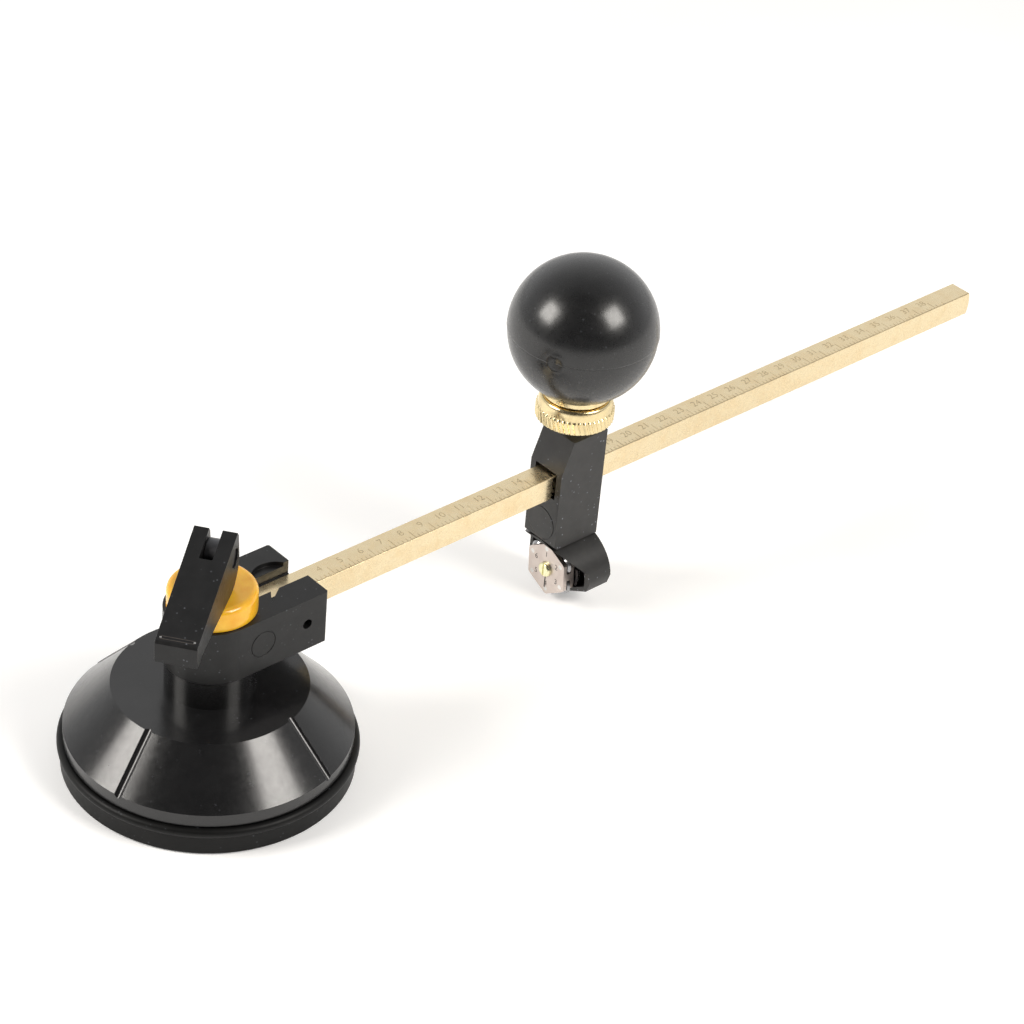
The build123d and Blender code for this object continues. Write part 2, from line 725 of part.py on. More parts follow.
with BuildPart() as turret_nut:
    with BuildSketch(facing_x(column_back - back_nut_depth)):
        RegularPolygon(back_nut_radius, 6)
        Circle(pivot_radius, mode=Mode.SUBTRACT)
    extrude(amount=back_nut_depth - screw_end_gap)

with BuildPart() as detent_spring:
    spring_front = turret_back + face_gap
    spring_back = recess_floor
    spring_bore = pivot_radius + 2 * running_fit
    with BuildSketch(Plane(origin=(0, 0, turret_height), x_dir=(1, 0, 0), z_dir=(0, -1, 0))):
        with BuildLine():
            Polyline(
                (spring_back, spring_bore),
                (spring_back, spring_seat),
                (spring_front + spring_thickness, spring_reach),
                (spring_front, spring_reach),
                (spring_front, spring_reach - spring_thickness),
                (spring_back - spring_thickness, spring_bore),
                close=True,
            )
        make_face()
    revolve(axis=Axis((0, 0, turret_height), (1, 0, 0)))
    with BuildSketch(facing_x(spring_front)):
        Rectangle(3 * spring_reach, spring_width)
    extrude(amount=spring_back - spring_front, mode=Mode.INTERSECT)

# ================================================================ files
save(cup_housing, "cup_housing")
save(suction_pad, "suction_pad")
save(stem_plate, "stem_plate")
save(pull_stem, "pull_stem")
save(thrust_cap, "thrust_cap")
save(cam_lever, "cam_lever")
save(lever_pin, "lever_pin")
save(swivel_block, "swivel_block")
save(bar_set_screw, "bar_set_screw")
save(scale_bar, "scale_bar")
save(slide_body, "slide_body")
save(pressure_pad, "pressure_pad")
save(clamp_stud, "clamp_stud")
save(lock_nut, "lock_nut")
save(knob_insert, "knob_insert")
save(knob_lower_half, "knob_lower_half")
save(knob_upper_half, "knob_upper_half")
save(wheel_turret, "wheel_turret")
save(turret_screw, "turret_screw")
save(turret_nut, "turret_nut")
save(detent_spring, "detent_spring")
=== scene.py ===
"""Looks of the circular glass cutter: rounded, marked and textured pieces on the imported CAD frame.

Everything is in metres in the CAD's frame: origin on the suction base's axis at the glass,
+X along the scale bar, +Z up. Sizes below are in millimetres and are scaled by MM.
"""
import json
from math import atan2, cos, exp, pi, radians, sin

import bmesh
import bpy
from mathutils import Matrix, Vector


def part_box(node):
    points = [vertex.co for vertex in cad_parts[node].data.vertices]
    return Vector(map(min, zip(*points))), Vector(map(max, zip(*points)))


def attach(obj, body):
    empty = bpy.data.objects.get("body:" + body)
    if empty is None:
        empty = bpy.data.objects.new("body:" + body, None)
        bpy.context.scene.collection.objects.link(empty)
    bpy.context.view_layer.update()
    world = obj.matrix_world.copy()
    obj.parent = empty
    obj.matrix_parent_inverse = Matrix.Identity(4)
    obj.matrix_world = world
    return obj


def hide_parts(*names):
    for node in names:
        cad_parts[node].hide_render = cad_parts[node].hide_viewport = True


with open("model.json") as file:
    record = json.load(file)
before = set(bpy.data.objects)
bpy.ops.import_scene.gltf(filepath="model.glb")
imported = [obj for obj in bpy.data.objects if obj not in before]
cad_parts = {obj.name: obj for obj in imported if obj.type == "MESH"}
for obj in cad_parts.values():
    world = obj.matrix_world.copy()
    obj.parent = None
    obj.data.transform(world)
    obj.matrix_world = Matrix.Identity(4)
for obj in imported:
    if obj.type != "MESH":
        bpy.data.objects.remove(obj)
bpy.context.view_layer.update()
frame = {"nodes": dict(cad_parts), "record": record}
nodes = frame["nodes"]
MM = 0.001

# ---------------------------------------------------------------- camera and light
camera_place = (-267.96, -346.70, 366.21)     # mm
camera_turn = (54.992, -4.418, -41.557)       # degrees, XYZ
camera_lens = 104.9                           # mm on a 36 mm sensor
lamp_aim = (0.07, 0, 0.05)                    # metres, as are the next two
lamp_distance = 0.95
lamp_size = 0.40
lamp_power = 6.6                              # watts
lamp_colour = (1.0, 0.965, 0.915)
towards_camera = (-0.66, -0.64, 0.40)         # the surroundings are dark on this side
far_side_light = 0.90                         # strength of the surroundings on the far side
near_side_light = 0.06                        # and on the camera's side

# ---------------------------------------------------------------- detail sizes, mm
tick_pitch = 1.0
tick_width = 0.12
short_tick = 0.75
middle_tick = 2.3
numeral_size = 2.4
numeral_thinning = 0.035  # taken off each side of a numeral's strokes
mark_lift = 0.012         # how far printed marks stand off their surface
scale_zero = 22.0         # first tick, from the base's axis
scale_end_gap = 8.0       # bare bar beyond the last tick
first_numeral = 4         # at the fifth tick
tick_inset = 0.22         # ticks start this far in from the bar's near side
numeral_shift = -1.6      # numeral's middle along the bar, from its tick
numeral_inset = 2.7       # and across the bar, from the ticks' near ends
edge_line = (0.03, 0.17)  # its two sides, in from the bar's near side
edge_line_depth = 0.12    # down the bar's near side
edge_line_end_gap = 0.5
knurl_teeth = 46
knurl_depth = 0.28
knurl_twist = 0.09        # radians over the knurled band
knurl_sharpness = 1.5
steps_per_tooth = 10
knurl_rows = 8
nut_bore = 3.0
nut_shoulder_height = 2.2  # rounded shoulder above the knurled band
nut_shoulder_radius = 6.95
nut_land = 0.3            # plain land above and below the knurl
nut_neck = 0.35           # the lands are this much smaller in radius
nut_foot = (0.6, 0.06)    # edge of its underside: in from the radius, and its height
shoulder_rows = 6
ball_wall = 2.5
seam_round = 0.16         # rounding along the ball's seam
seam_step = 0.15          # the lower half is this much smaller in radius
ball_rows = 90            # from seam to pole
ball_steps = 192
scar_depth = 0.30         # the gate scar: a pit, and a raised ring about it
scar_spread = 0.9
scar_ring_radius = 1.6
scar_ring_height = 0.12
scar_ring_spread = 0.5
corner_digit_size = 1.7
corner_digit_reach = 3.45  # from the turret's axis
slit_shade_width = 0.34         # dark strip of painted shade for the slit in the turret's front cheek, below the screw
slit_shade_span = (1.5, 4.6)    # its two ends, from the turret's axis
ring_mark = 3.8           # radius of the ejector's ring on the carriage
ring_mark_height = 20.5
dirt_inset = 0.1          # the dirt in the ring is this much smaller in radius
dirt_depth = 0.06         # its middle, behind the carriage's front face
dirt_width = 0.18
dirt_thickness = 0.1
dirt_angles = (-105, 25)  # degrees, its two ends
painted_highlight_width = 0.2     # painted highlight on the leaf spring's near end, across its thickness
painted_highlight_length = 0.5    # and along the bar
painted_highlight_place = 0.35    # its middle, behind the leaf's front
painted_highlight_angle = 16      # degrees, either side of its middle
lever_bearing = -142.6     # degrees, the way the handle points
lever_top = ((-1.4, 4.7), (23.6, -2.9))   # ends of its flat top: distance from the pin, height over it
crease_shade_gaps = (0.55, 1.15)           # the crease's two lines of painted shade, back from the lip's edge
crease_shade_size = (6.4, 0.11, 0.04)      # across the lever, along it, and proud of it
# painted glints at the crease's ends: bright steel dots
crease_glint_gap = 0.85
crease_glint_reach = 3.1                    # either side of the lever's middle
crease_glint_size = (0.4, 0.3, 0.05)
blemish_way = (-0.8990, -0.4377, 0.0145)      # direction of the ball's gate scar from its centre


# ================================================================ mesh helpers
def new_piece(name, mesh, body, stands_for=()):
    """An object made from mesh, riding on a body and standing for CAD nodes."""
    piece = bpy.data.objects.new(name, mesh)
    bpy.context.scene.collection.objects.link(piece)
    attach(piece, body)
    if stands_for:
        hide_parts(*stands_for)
    return piece


def finished(bm, name):
    """The bmesh as a mesh; the bmesh is freed."""
    mesh = bpy.data.meshes.new(name)
    bm.to_mesh(mesh)
    bm.free()
    return mesh


def smooth(mesh, sharp_angle=35):
    mesh.polygons.foreach_set("use_smooth", [True] * len(mesh.polygons))
    mesh.set_sharp_from_angle(angle=radians(sharp_angle))
    mesh.update()


def body_of(node):
    for body, members in frame["record"]["behaviour"]["bodies"].items():
        if node in members:
            return body


def slot_of(node):
    for part in frame["record"]["subparts"]:
        if part["node"] == node:
            return part["material_slot"]


def rounded(node, width, segments=3, angle=28):
    """The CAD node's shape with its sharp edges rounded by width (mm), as a new piece."""
    bm = bmesh.new()
    bm.from_mesh(nodes[node].data)
    bmesh.ops.remove_doubles(bm, verts=bm.verts, dist=0.002 * MM)
    bmesh.ops.dissolve_limit(bm, angle_limit=radians(0.6), verts=bm.verts, edges=bm.edges)
    mesh = finished(bm, node + "_rounded")
    if "custom_normal" in mesh.attributes:
        mesh.attributes.remove(mesh.attributes["custom_normal"])
    smooth(mesh, angle)
    piece = new_piece(node + "_rounded", mesh, body_of(node), [node])
    bevel = piece.modifiers.new("edges", "BEVEL")
    bevel.width = width * MM
    bevel.segments = segments
    bevel.limit_method = "ANGLE"
    bevel.angle_limit = radians(angle)
    bevel.harden_normals = True
    return piece


def lathe(profile, centre, steps, shift=None):
    """A closed ring mesh: (radius, height) points in mm turned about a vertical axis at centre (mm).

    shift(angle, index, radius, height) may return a changed (radius, height).
    """
    bm = bmesh.new()
    rings = []
    for step in range(steps):
        angle = 2 * pi * step / steps
        ring = []
        for index, (radius, height) in enumerate(profile):
            if shift:
                radius, height = shift(angle, index, radius, height)
            place = Vector((centre[0] + radius * cos(angle), centre[1] + radius * sin(angle), height))
            ring.append(bm.verts.new(place * MM))
        rings.append(ring)
    count = len(profile)
    for step in range(steps):
        here, there = rings[step], rings[(step + 1) % steps]
        for index in range(count):
            after = (index + 1) % count
            bm.faces.new((here[index], there[index], there[after], here[after]))
    bmesh.ops.recalc_face_normals(bm, faces=bm.faces)
    return finished(bm, "lathe")


def boxes(places):
    """One mesh of small blocks, each given as (lowest corner, highest corner) in mm."""
    bm = bmesh.new()
    for low, high in places:
        size = Vector(high) - Vector(low)
        block = bmesh.ops.create_cube(bm, size=1)["verts"]
        bmesh.ops.scale(bm, vec=size * MM, verts=block)
        bmesh.ops.translate(bm, vec=(Vector(low) + size / 2) * MM, verts=block)
    return finished(bm, "blocks")


def slab(centre, axes, size):
    """A small block of the given size (mm) along three axes."""
    bm = bmesh.new()
    for vert in bmesh.ops.create_cube(bm, size=1)["verts"]:
        steps = zip(axes, vert.co.copy(), size)
        vert.co = (centre + sum((axis * place * reach for axis, place, reach in steps), Vector())) * MM
    bmesh.ops.recalc_face_normals(bm, faces=bm.faces)
    return finished(bm, "slab")


def joined(meshes):
    """One mesh made of several."""
    bm = bmesh.new()
    for mesh in meshes:
        bm.from_mesh(mesh)
    return finished(bm, "joined")


def arc_band(centre, axes, radius, width, thickness, start, end, steps=28):
    """A curved strip of rectangular section, in mm, from angle start to end (degrees).

    axes: the directions of 0 and 90 degrees, and the one that thickness is measured along.
    """
    first, second, out = (Vector(axis) for axis in axes)
    bm = bmesh.new()
    sections = []
    for step in range(steps + 1):
        angle = radians(start + (end - start) * step / steps)
        ray = first * cos(angle) + second * sin(angle)
        corners = ((-0.5, -0.5), (0.5, -0.5), (0.5, 0.5), (-0.5, 0.5))
        places = [Vector(centre) + ray * (radius + a * width) + out * (b * thickness) for a, b in corners]
        sections.append([bm.verts.new(place * MM) for place in places])
    for here, there in zip(sections, sections[1:]):
        for side in range(4):
            after = (side + 1) % 4
            bm.faces.new((here[side], here[after], there[after], there[side]))
    bm.faces.new(sections[0])
    bm.faces.new(sections[-1])
    bmesh.ops.recalc_face_normals(bm, faces=bm.faces)
    return finished(bm, "arc")


def numeral_mesh(places, size, thickness, axes, thinning=0.0):
    """One mesh of upright numerals. places: (text, origin in mm); axes: (right, up, out) of the text."""
    right, up, out = (Vector(axis) for axis in axes)
    bm = bmesh.new()
    for text, origin in places:
        curve = bpy.data.curves.new("numeral", "FONT")
        curve.body = text
        curve.size = size * MM
        curve.align_x = "CENTER"
        curve.align_y = "CENTER"
        curve.extrude = thickness * MM / 2
        curve.offset = -thinning * MM
        carrier = bpy.data.objects.new("numeral", curve)
        bpy.context.scene.collection.objects.link(carrier)
        bpy.context.view_layer.update()
        flat = bpy.data.meshes.new_from_object(carrier)
        bpy.data.objects.remove(carrier)
        for vert in flat.vertices:
            x, y, z = vert.co
            vert.co = Vector(origin) * MM + right * x + up * y + out * z
        bm.from_mesh(flat)
        bpy.data.meshes.remove(flat)
    return finished(bm, "numerals")


# ================================================================ materials
class Graph:
    """A material's node tree, with short calls for the nodes used here. Texture space is millimetres."""

    def __init__(self, name):
        self.material = bpy.data.materials.new(name)
        self.material.use_nodes = True
        self.tree = self.material.node_tree
        self.tree.nodes.clear()
        self.output = self.add("ShaderNodeOutputMaterial")
        self.shader = self.add("ShaderNodeBsdfPrincipled")
        self.link(self.shader.outputs["BSDF"], self.output.inputs["Surface"])
        coordinates = self.add("ShaderNodeTexCoord")
        self.space = self.add("ShaderNodeMapping")
        self.space.inputs["Scale"].default_value = (1 / MM, 1 / MM, 1 / MM)
        self.link(coordinates.outputs["Object"], self.space.inputs["Vector"])

    def add(self, kind, **settings):
        node = self.tree.nodes.new(kind)
        for key, value in settings.items():
            setattr(node, key, value)
        return node

    def link(self, source, target):
        self.tree.links.new(source, target)

    def set(self, **values):
        for key, value in values.items():
            self.shader.inputs[key.replace("_", " ")].default_value = value

    def stretched(self, scale):
        stretch = self.add("ShaderNodeMapping")
        stretch.inputs["Scale"].default_value = scale
        self.link(self.space.outputs["Vector"], stretch.inputs["Vector"])
        return stretch.outputs["Vector"]

    def noise(self, scale, detail=4.0, rough=0.55, vector=None, distortion=0.0):
        noise = self.add("ShaderNodeTexNoise")
        noise.inputs["Scale"].default_value = scale
        noise.inputs["Detail"].default_value = detail
        noise.inputs["Roughness"].default_value = rough
        noise.inputs["Distortion"].default_value = distortion
        self.link(vector or self.space.outputs["Vector"], noise.inputs["Vector"])
        return noise.outputs["Fac"]

    def ramp(self, source, low, high, start=0.0, end=1.0):
        """source between low and high, spread over start to end."""
        spread = self.add("ShaderNodeMapRange")
        spread.inputs["From Min"].default_value = low
        spread.inputs["From Max"].default_value = high
        spread.inputs["To Min"].default_value = start
        spread.inputs["To Max"].default_value = end
        self.link(source, spread.inputs["Value"])
        return spread.outputs["Result"]

    def times(self, first, second):
        product = self.add("ShaderNodeMath", operation="MULTIPLY")
        self.link(first, product.inputs[0])
        self.link(second, product.inputs[1])
        return product.outputs[0]

    def mix(self, factor, first, second):
        """Colour mix; first and second are colours or outputs."""
        mix = self.add("ShaderNodeMix", data_type="RGBA")
        self.link(factor, mix.inputs["Factor"])
        for value, name in ((first, "A"), (second, "B")):
            socket = [s for s in mix.inputs if s.name == name and s.type == "RGBA"][0]
            if isinstance(value, tuple):
                socket.default_value = (*value, 1.0)
            else:
                self.link(value, socket)
        return [s for s in mix.outputs if s.type == "RGBA"][0]

    def colour(self, source):
        self.link(source, self.shader.inputs["Base Color"])

    def roughness(self, source):
        self.link(source, self.shader.inputs["Roughness"])

    def bump(self, height, distance, strength=1.0, before=None):
        bump = self.add("ShaderNodeBump")
        bump.inputs["Distance"].default_value = distance * MM
        bump.inputs["Strength"].default_value = strength
        self.link(height, bump.inputs["Height"])
        if before:
            self.link(before, bump.inputs["Normal"])
        self.link(bump.outputs["Normal"], self.shader.inputs["Normal"])
        return bump.outputs["Normal"]


dust_colour = (0.30, 0.29, 0.27)
speck_colour = (0.33, 0.35, 0.40)


def moulded_plastic(name, dark, light, rough, grain, dust=0.0, specks=0.0):
    """Injection-moulded plastic: faint flow mottling, handling marks, settled dust and single specks."""
    g = Graph(name)
    mottled = g.mix(g.ramp(g.noise(0.35, 5), 0.35, 0.7), dark, light)
    patches = g.ramp(g.noise(0.22, 3), 0.45, 0.7)
    settled = g.times(g.ramp(g.noise(3.1, 6, 0.75), 0.63, 0.74), patches)
    dusty = g.mix(g.ramp(settled, 0, 1, 0, dust), mottled, dust_colour)
    cells = g.add("ShaderNodeTexVoronoi")
    cells.inputs["Scale"].default_value = 0.75
    g.link(g.space.outputs["Vector"], cells.inputs["Vector"])
    spots = g.times(g.ramp(cells.outputs["Distance"], 0.17, 0.09), patches)
    g.colour(g.mix(g.ramp(spots, 0, 1, 0, specks), dusty, speck_colour))
    g.roughness(g.ramp(g.noise(0.8, 6, 0.65), 0.3, 0.75, rough - 0.03, rough + 0.06))
    fine = g.bump(g.noise(9.0, 4, 0.6), grain * 0.4, 0.5)
    g.bump(g.noise(0.9, 3), grain, 0.5, fine)
    return g


def gloss_black():
    colours = ((0.008, 0.008, 0.0085), (0.011, 0.011, 0.0115))
    g = moulded_plastic("gloss_black", *colours, 0.22, 0.0012, 0.15, 0.10)
    g.set(IOR=1.5, Coat_Weight=0.2, Coat_Roughness=0.15)
    return g.material


def ball_black():
    g = moulded_plastic("ball_black", (0.0085, 0.0085, 0.009), (0.012, 0.012, 0.0125), 0.27, 0.0015, 0.1, 0.2)
    g.set(IOR=1.5, Coat_Weight=0.25, Coat_Roughness=0.18)
    return g.material


def satin_black():
    g = moulded_plastic("satin_black", (0.006, 0.006, 0.0062), (0.010, 0.010, 0.0103), 0.33, 0.008, 0.35, 0.3)
    g.set(IOR=1.45, Specular_IOR_Level=0.4)
    return g.material


def dusty_black():
    colours = ((0.017, 0.0165, 0.016), (0.026, 0.025, 0.024))
    g = moulded_plastic("dusty_black", *colours, 0.36, 0.008, 0.5, 0.9)
    g.set(IOR=1.45)
    return g.material


def rubber_black():
    g = moulded_plastic("rubber_black", (0.003, 0.003, 0.003), (0.005, 0.005, 0.0047), 0.46, 0.006, 0.25, 0.2)
    g.set(IOR=1.4, Specular_IOR_Level=0.3)
    return g.material


def yellow_plastic():
    g = moulded_plastic("yellow_plastic", (0.87, 0.42, 0.012), (0.95, 0.54, 0.03), 0.22, 0.008, 0.0)
    g.set(IOR=1.5, Subsurface_Weight=0.15, Subsurface_Scale=0.001, Coat_Weight=0.2, Coat_Roughness=0.1)
    return g.material


def metal(name, base, stain, rough, grain_scale, grain, stain_amount=0.5):
    """Worn metal: stained patches, roughness clouds and a directional machining grain."""
    g = Graph(name)
    g.set(Metallic=1.0)
    patches = g.ramp(g.noise(0.28, 7, 0.62, distortion=0.6), 0.42, 0.72, 0, stain_amount)
    freckles = g.ramp(g.noise(2.4, 6, 0.7), 0.6, 0.78, 0, stain_amount)
    first = g.mix(patches, base, stain)
    g.colour(g.mix(freckles, first, tuple(0.72 * c for c in stain)))
    g.roughness(g.ramp(g.noise(0.7, 6, 0.65), 0.3, 0.75, rough - 0.07, rough + 0.1))
    lines = g.noise(1.0, 3, 0.6, g.stretched(grain_scale))
    g.bump(lines, grain, 0.6)
    return g


def bar_brass():
    g = metal("bar_brass", (0.85, 0.71, 0.46), (0.78, 0.58, 0.32), 0.27, (0.05, 6.0, 6.0), 0.005, 0.5)
    return g.material


def nut_brass():
    g = metal("nut_brass", (0.84, 0.70, 0.41), (0.60, 0.46, 0.22), 0.24, (5.0, 5.0, 0.4), 0.004, 0.5)
    return g.material


def steel():
    g = metal("steel", (0.72, 0.71, 0.69), (0.42, 0.40, 0.37), 0.28, (5.0, 5.0, 0.5), 0.004, 0.6)
    return g.material


def dark_steel():
    g = metal("dark_steel", (0.10, 0.10, 0.105), (0.05, 0.05, 0.05), 0.38, (4.0, 4.0, 4.0), 0.006, 0.5)
    return g.material


def wheel_steel():
    g = metal("wheel_steel", (0.40, 0.40, 0.41), (0.22, 0.22, 0.22), 0.30, (0.6, 8.0, 8.0), 0.003, 0.4)
    return g.material


def turret_zinc():
    g = metal("turret_zinc", (0.64, 0.565, 0.52), (0.50, 0.42, 0.38), 0.42, (1.5, 5.0, 0.8), 0.012, 0.5)
    return g.material


def screw_brass():
    g = metal("screw_brass", (0.88, 0.85, 0.56), (0.66, 0.61, 0.34), 0.30, (3.0, 3.0, 3.0), 0.004, 0.4)
    return g.material


def mark_ink():
    g = metal("mark_ink", (0.50, 0.40, 0.24), (0.30, 0.23, 0.13), 0.55, (3.0, 3.0, 3.0), 0.004, 0.7)
    g.set(Metallic=0.6)
    return g.material


# dark ink for printed numerals and dirt; also painted shade for the turret's slit and the lever's crease
def dark_ink():
    g = moulded_plastic("dark_ink", (0.030, 0.026, 0.024), (0.075, 0.062, 0.055), 0.6, 0.006, 0.2)
    return g.material


finishes = {
    "gloss_black": gloss_black(),
    "ball_black": ball_black(),
    "satin_black": satin_black(),
    "dusty_black": dusty_black(),
    "rubber_black": rubber_black(),
    "yellow_plastic": yellow_plastic(),
    "bar_brass": bar_brass(),
    "nut_brass": nut_brass(),
    "steel": steel(),
    "dark_steel": dark_steel(),
    "wheel_steel": wheel_steel(),
    "turret_zinc": turret_zinc(),
    "screw_brass": screw_brass(),
    "mark_ink": mark_ink(),
    "dark_ink": dark_ink(),
}


own_finish = {"turret_screw": "screw_brass", "slide_body": "dusty_black"}


def finish_of(node):
    """The finish of a CAD node: its record slot's, unless it has one of its own."""
    return own_finish.get(node, slot_of(node))


def dress(piece, finish):
    piece.data.materials.clear()
    piece.data.materials.append(finishes[finish])


# ================================================================ pieces
def box_mm(node):
    low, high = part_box(node)
    return low / MM, high / MM


def dressed_cad():
    """CAD nodes whose shape needs no more detail keep their mesh and get a finish."""
    for name, node in nodes.items():
        dress(node, finish_of(name))


def rounded_pieces():
    """CAD shapes that only need their moulded or worn edges rounded, by these widths in mm."""
    widths = {
        "cup_housing": 0.28,
        "suction_pad": 0.3,
        "pull_stem": 0.25,
        "cam_lever": 0.38,
        "lever_pin": 0.12,
        "swivel_block": 0.3,
        "slide_body": 0.32,
        "knob_insert": 0.12,
    }
    for node, width in widths.items():
        dress(rounded(node, width), finish_of(node))


def scale_marks():
    """Ticks along the bar's near top edge, and the numerals between the edges."""
    low, high = box_mm("scale_bar")
    top = high.z
    near = low.y + tick_inset
    blocks = []
    numerals = []
    for tick in range(int((high.x - scale_end_gap - scale_zero) / tick_pitch) + 1):
        x = scale_zero + tick * tick_pitch
        fifth = tick % 5 == 0
        length = middle_tick if fifth else short_tick
        width = tick_width * (1.0 + 0.25 * sin(tick * 2.3))    # unevenly inked
        blocks.append(((x - width / 2, near, top), (x + width / 2, near + length, top + mark_lift)))
        if fifth and tick:
            place = (x + numeral_shift, near + numeral_inset, top + mark_lift / 2)
            numerals.append((str(tick // 5 - 1 + first_numeral), place))
    dress(new_piece("scale_ticks", boxes(blocks), "arm"), "mark_ink")
    axes = ((1, 0, 0), (0, 1, 0), (0, 0, 1))
    figures = numeral_mesh(numerals, numeral_size, mark_lift, axes, numeral_thinning)
    dress(new_piece("scale_numerals", figures, "arm"), "mark_ink")
    # dark line that fills the chamfer along the near top edge
    start = (box_mm("swivel_block")[1].x, low.y + edge_line[0], top - edge_line_depth)
    end = (high.x - edge_line_end_gap, low.y + edge_line[1], top + mark_lift / 3)
    dress(new_piece("bar_edge_line", boxes([(start, end)]), "arm"), "mark_ink")


def knurled_nut():
    """The lock nut with a twisted knurl between two plain lands, under a rounded shoulder."""
    low, high = box_mm("lock_nut")
    centre = (low + high) / 2
    radius = high.x - centre.x
    neck = radius - nut_neck
    shoulder_foot = high.z - nut_shoulder_height
    band_low, band_high = low.z + nut_land, shoulder_foot - nut_land
    profile = [(nut_bore, low.z), (radius - nut_foot[0], low.z), (neck, low.z + nut_foot[1])]
    first_tooth = len(profile)
    for row in range(knurl_rows + 1):
        profile.append((radius, band_low + (band_high - band_low) * row / knurl_rows))
    last_tooth = len(profile) - 1
    for row in range(shoulder_rows + 1):
        tilt = radians(90 * row / shoulder_rows)
        ring = nut_shoulder_radius + (neck - nut_shoulder_radius) * cos(tilt)
        profile.append((ring, shoulder_foot + nut_shoulder_height * sin(tilt)))
    profile.append((nut_bore, high.z))

    def teeth(angle, index, radius, height):
        if first_tooth <= index <= last_tooth:
            turn = angle + knurl_twist * (height - band_low) / (band_high - band_low)
            wave = 0.5 + 0.5 * cos(knurl_teeth * turn)
            radius -= knurl_depth * wave ** knurl_sharpness
        return radius, height

    mesh = lathe(profile, centre, knurl_teeth * steps_per_tooth, teeth)
    smooth(mesh, 38)
    dress(new_piece("knurled_nut", mesh, "nut", ["lock_nut"]), "nut_brass")


def ball_halves():
    """Two moulded shells with a rounded seam and the scar of the mould's gate.

    The lower shell sits a little inside the upper one.
    """
    low, high = box_mm("knob_upper_half")
    centre = Vector(((low.x + high.x) / 2, (low.y + high.y) / 2, low.z))
    radius = high.z - low.z
    scar = Vector(blemish_way)

    def scarred(angle, index, ring, height):
        spot = Vector((ring * cos(angle), ring * sin(angle), height - centre.z))
        away = (spot / radius - scar).length * radius
        pit = scar_depth * exp(-((away / scar_spread) ** 2))
        raised_ring = scar_ring_height * exp(-(((away - scar_ring_radius) / scar_ring_spread) ** 2))
        shrink = 1 - (pit - raised_ring) / radius
        return ring * shrink, centre.z + (height - centre.z) * shrink

    def shell(start, end, outer):
        tilts = [start + (end - start) * row / ball_rows for row in range(ball_rows + 1)]
        points = [(outer * cos(tilt), centre.z + outer * sin(tilt)) for tilt in tilts]
        inner = radius - ball_wall
        points += [(inner * cos(tilt), centre.z + inner * sin(tilt)) for tilt in reversed(tilts)]
        return points

    upper = shell(seam_round / radius, pi / 2 - 0.0005, radius)
    upper.insert(0, (radius - seam_round, centre.z + 0.01))
    lower_radius = radius - seam_step
    collar_low, collar_high = box_mm("knob_insert")
    collar_radius = (collar_high.x - collar_low.x) / 2
    mouth = -atan2((lower_radius ** 2 - collar_radius ** 2) ** 0.5, collar_radius)
    lower = shell(-seam_round / radius, mouth, lower_radius)
    lower.insert(0, (radius - seam_round, centre.z - 0.01))
    for name, profile, node in (
        ("ball_upper", upper, "knob_upper_half"),
        ("ball_lower", lower, "knob_lower_half"),
    ):
        mesh = lathe(profile, centre, ball_steps, scarred)
        smooth(mesh, 50)
        dress(new_piece(name, mesh, "knob", [node]), "ball_black")


def turret_marks():
    """A numeral at each corner of the front cheek, and a dark strip of painted shade for the slit cast below
    the screw.
    """
    low, high = box_mm("wheel_turret")
    centre = (low + high) / 2
    face = low.x - mark_lift / 2
    places = []
    for number in range(1, 7):
        wheel_low, wheel_high = box_mm(f"cutting_wheel_{number}")
        corner = (wheel_low + wheel_high) / 2 - centre
        way = Vector((0, corner.y, corner.z)).normalized() * corner_digit_reach
        places.append((str(number), (face, centre.y + way.y, centre.z + way.z)))
    axes = ((0, -1, 0), (0, 0, 1), (-1, 0, 0))
    figures = numeral_mesh(places, corner_digit_size, mark_lift, axes)
    dress(new_piece("corner_numerals", figures, "turret"), "dark_ink")
    # dark strip proud of the cheek: painted shade for the slit
    start = (low.x - mark_lift, centre.y - slit_shade_width / 2, centre.z - slit_shade_span[1])
    end = (low.x, centre.y + slit_shade_width / 2, centre.z - slit_shade_span[0])
    dress(new_piece("turret_slit_shade", boxes([(start, end)]), "turret"), "dark_ink")


def ejector_arc():
    """Dark dirt in the ring that an ejector left on the carriage's front face."""
    low = box_mm("slide_body")[0]
    centre = (low.x + dirt_depth, 0, ring_mark_height)
    axes = ((0, 1, 0), (0, 0, 1), (1, 0, 0))
    arc = arc_band(centre, axes, ring_mark - dirt_inset, dirt_width, dirt_thickness, *dirt_angles)
    dress(new_piece("ejector_dirt", arc, "carriage"), "dark_ink")


def lever_crease():
    """The moulded crease across the lever before its lip, drawn as two dark lines of painted shade, with a
    bright steel dot of painted glint at each end.
    """
    pin_low, pin_high = box_mm("lever_pin")
    pivot = (pin_low + pin_high) / 2
    bearing = radians(lever_bearing)
    way = Vector((cos(bearing), sin(bearing), 0))
    side = Vector((sin(bearing), -cos(bearing), 0))
    rise = Vector((0, 0, 1))
    fork_end, lip_end = Vector(lever_top[0]), Vector(lever_top[1])
    along = (way * (lip_end.x - fork_end.x) + rise * (lip_end.y - fork_end.y)).normalized()
    normal = side.cross(along)
    normal = normal if normal.z > 0 else -normal
    axes = (side, along, normal)
    edge = pivot + way * lip_end.x + rise * lip_end.y
    # dark lines: painted shade in the crease
    lines = [slab(edge - along * gap, axes, crease_shade_size) for gap in crease_shade_gaps]
    middle = edge - along * crease_glint_gap
    reaches = (-crease_glint_reach, crease_glint_reach)
    # bright steel dots: painted glints at the crease's ends
    glint_dots = [slab(middle + side * reach, axes, crease_glint_size) for reach in reaches]
    dress(new_piece("crease_shade_lines", joined(lines), "lever"), "dark_ink")
    dress(new_piece("crease_glints", joined(glint_dots), "lever"), "steel")


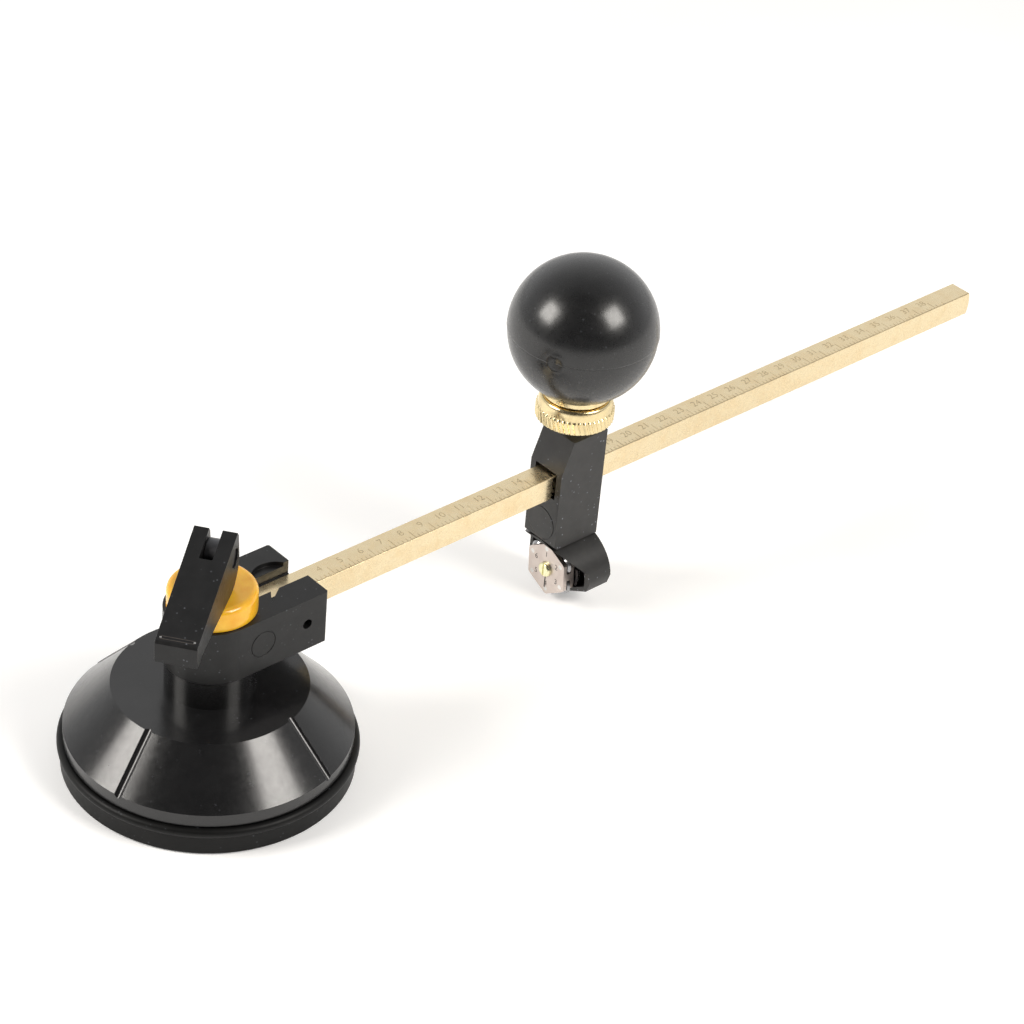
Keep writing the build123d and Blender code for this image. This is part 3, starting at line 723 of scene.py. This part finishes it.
def spring_edge():
    """Painted highlight: a bright steel arc on the leaf spring's near end."""
    low, high = box_mm("detent_spring")
    middle = (low + high) / 2
    centre = (low.x + painted_highlight_place, middle.y, middle.z)
    radius = middle.y - low.y - painted_highlight_width / 2
    axes = ((0, -1, 0), (0, 0, 1), (1, 0, 0))
    ends = (-painted_highlight_angle, painted_highlight_angle)
    arc = arc_band(centre, axes, radius, painted_highlight_width, painted_highlight_length, *ends, steps=12)
    # bright steel arc: painted highlight on the spring's edge
    dress(new_piece("spring_edge", arc, "carriage"), "steel")


dressed_cad()
rounded_pieces()
scale_marks()
knurled_nut()
ball_halves()
turret_marks()
ejector_arc()
lever_crease()
spring_edge()


# ================================================================ stage
def studio():
    """A pale floor, two warm lamps, and surroundings that are bright beyond the object."""
    floor_mesh = bpy.data.meshes.new("floor")
    reach = 6.0
    corners = [(-reach, -reach, 0), (reach, -reach, 0), (reach, reach, 0), (-reach, reach, 0)]
    floor_mesh.from_pydata(corners, [], [(0, 1, 2, 3)])
    floor = bpy.data.objects.new("floor", floor_mesh)
    bpy.context.scene.collection.objects.link(floor)
    g = Graph("floor_paper")
    g.set(Roughness=0.9)
    g.colour(g.mix(g.ramp(g.noise(0.02, 3), 0.3, 0.7), (0.90, 0.90, 0.90), (0.93, 0.93, 0.93)))
    g.set(Emission_Color=(1.0, 1.0, 1.0, 1.0), Emission_Strength=0.20)
    floor.data.materials.append(g.material)

    for name, way in (
        ("left_softbox", (-0.753, 0.357, 0.550)),
        ("right_softbox", (0.236, -0.731, 0.641)),
    ):
        lamp = bpy.data.lights.new(name, "AREA")
        lamp.shape = "SQUARE"
        lamp.size = lamp_size
        lamp.energy = lamp_power
        lamp.color = lamp_colour
        holder = bpy.data.objects.new(name, lamp)
        holder.location = Vector(lamp_aim) + Vector(way).normalized() * lamp_distance
        holder.rotation_euler = Vector(way).to_track_quat("Z", "Y").to_euler()
        bpy.context.scene.collection.objects.link(holder)

    world = bpy.data.worlds.new("studio")
    world.use_nodes = True
    bpy.context.scene.world = world
    tree = world.node_tree
    background = tree.nodes["Background"]
    coordinates = tree.nodes.new("ShaderNodeTexCoord")
    toward = tree.nodes.new("ShaderNodeVectorMath")
    toward.operation = "DOT_PRODUCT"
    toward.inputs[1].default_value = towards_camera
    spread = tree.nodes.new("ShaderNodeMapRange")
    spread.inputs["From Min"].default_value = -0.5
    spread.inputs["From Max"].default_value = 0.6
    spread.inputs["To Min"].default_value = far_side_light
    spread.inputs["To Max"].default_value = near_side_light
    tree.links.new(coordinates.outputs["Generated"], toward.inputs[0])
    tree.links.new(toward.outputs["Value"], spread.inputs["Value"])
    tree.links.new(spread.outputs["Result"], background.inputs["Strength"])
    background.inputs["Color"].default_value = (1.0, 1.0, 1.0, 1.0)


def photo_camera():
    """The camera at the object's pictured angle."""
    camera = bpy.data.cameras.new("camera")
    camera.lens = camera_lens
    camera.sensor_width = 36
    camera.clip_start = 0.01
    holder = bpy.data.objects.new("camera", camera)
    holder.location = Vector(camera_place) * MM
    holder.rotation_euler = [radians(angle) for angle in camera_turn]
    bpy.context.scene.collection.objects.link(holder)
    bpy.context.scene.camera = holder


studio()
photo_camera()
bpy.context.scene.view_settings.view_transform = "Standard"

bpy.context.view_layer.update()
